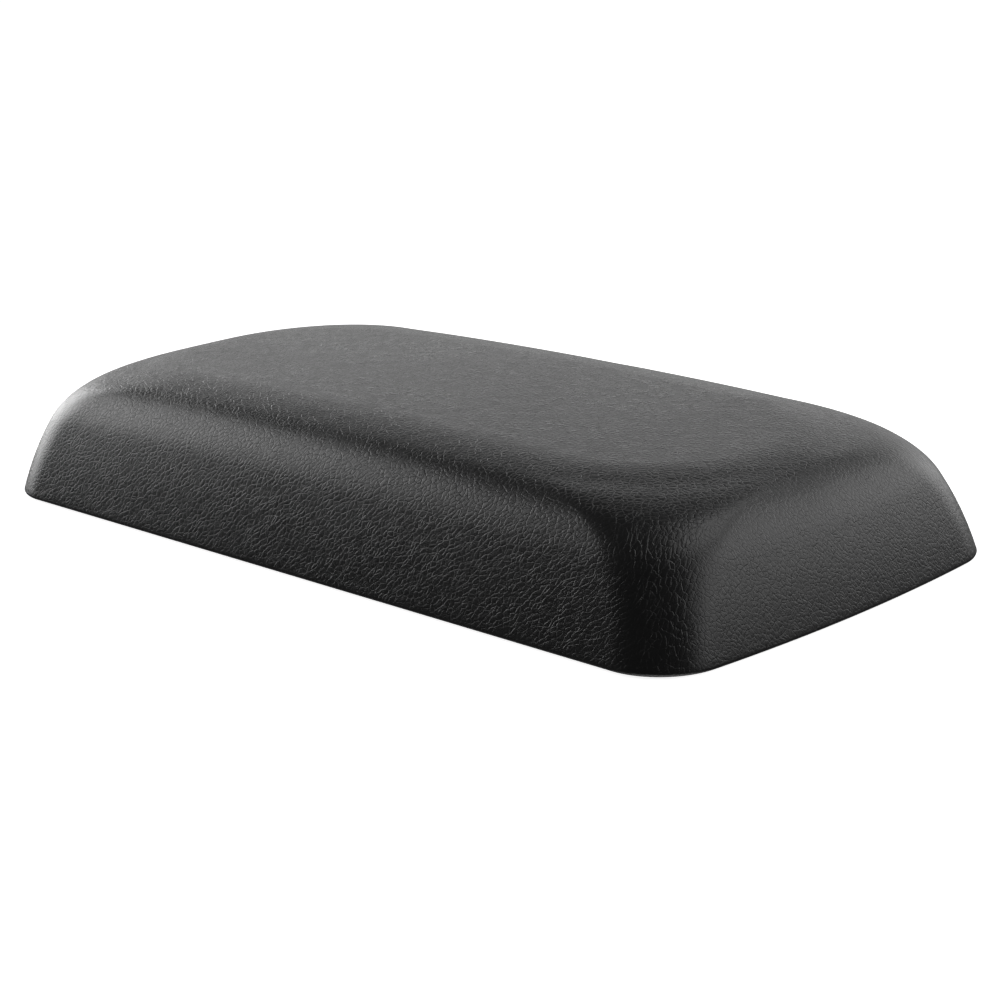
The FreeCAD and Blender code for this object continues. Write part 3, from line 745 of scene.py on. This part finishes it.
def make_softbox(name, azimuth, elevation, distance, width, height, radiance):
    """An area light that looks at the pad from a bearing measured from the camera's, in degrees."""
    light = bpy.data.lights.new(name, "AREA")
    light.shape = "RECTANGLE"
    light.size, light.size_y = width, height
    light.energy = radiance * math.pi * width * height
    lamp = bpy.data.objects.new(name, light)
    spot = direction(AZIMUTH + math.radians(azimuth), math.radians(elevation))
    lamp.location = spot * distance
    lamp.rotation_euler = spot.to_track_quat("Z", "Y").to_euler()
    bpy.context.scene.collection.objects.link(lamp)


def make_camera():
    """The camera, set by its bearing, elevation, roll and distance from the pad."""
    toward = direction(AZIMUTH, ELEVATION)
    level = Vector((math.cos(AZIMUTH), math.sin(AZIMUTH), 0.0))
    upright = toward.cross(level)
    right = math.cos(ROLL) * level + math.sin(ROLL) * upright
    top = -math.sin(ROLL) * level + math.cos(ROLL) * upright
    target = AIM_RIGHT * right + AIM_UP * top
    data = bpy.data.cameras.new("camera")
    data.lens = LENS
    data.sensor_width = SENSOR
    data.clip_start = 0.01
    camera = bpy.data.objects.new("camera", data)
    turned = Matrix((right, top, toward)).transposed()
    camera.matrix_world = Matrix.Translation(target + toward * DISTANCE) @ turned.to_4x4()
    bpy.context.scene.collection.objects.link(camera)
    bpy.context.scene.camera = camera


# ------------------------------------------------------------------ build

def dress(names, material):
    """Give CAD nodes a better material."""
    for name in names:
        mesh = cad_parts[name].data
        mesh.materials.clear()
        mesh.materials.append(material)


cover = make_cover(leathercloth())
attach(cover, "root")
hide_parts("cover")

foam = make_foam(moulded_foam())
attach(foam, "root")
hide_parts("foam_pad")

start, moved = simulate_cover()
draw_tight((cover, foam), start, moved)

black = moulded_plastic("plate_plastic", (0.012, 0.012, 0.013), (0.022, 0.022, 0.023), 1800.0, 0.02 * MM)
textured = moulded_plastic("panel_plastic", (0.016, 0.016, 0.017), (0.03, 0.03, 0.031), 1100.0, 0.05 * MM)
brass = turned_metal("insert_brass", (0.42, 0.29, 0.11), (0.72, 0.53, 0.24), 0.28)
zinc = turned_metal("screw_zinc", (0.36, 0.37, 0.39), (0.60, 0.61, 0.62), 0.30)
wire = turned_metal("staple_wire", (0.40, 0.40, 0.41), (0.62, 0.62, 0.63), 0.34)
dress(["base_plate"], black)
dress(["closing_panel"], textured)
dress([f"threaded_insert_{number}" for number in range(1, 5)], brass)
dress([f"panel_screw_{number}" for number in range(1, 7)], zinc)
dress(["hem_staples"], wire)

make_floor()
make_world()
for softbox in SOFTBOXES:
    make_softbox(*softbox)
make_camera()
bpy.context.scene.view_settings.view_transform = "Standard"
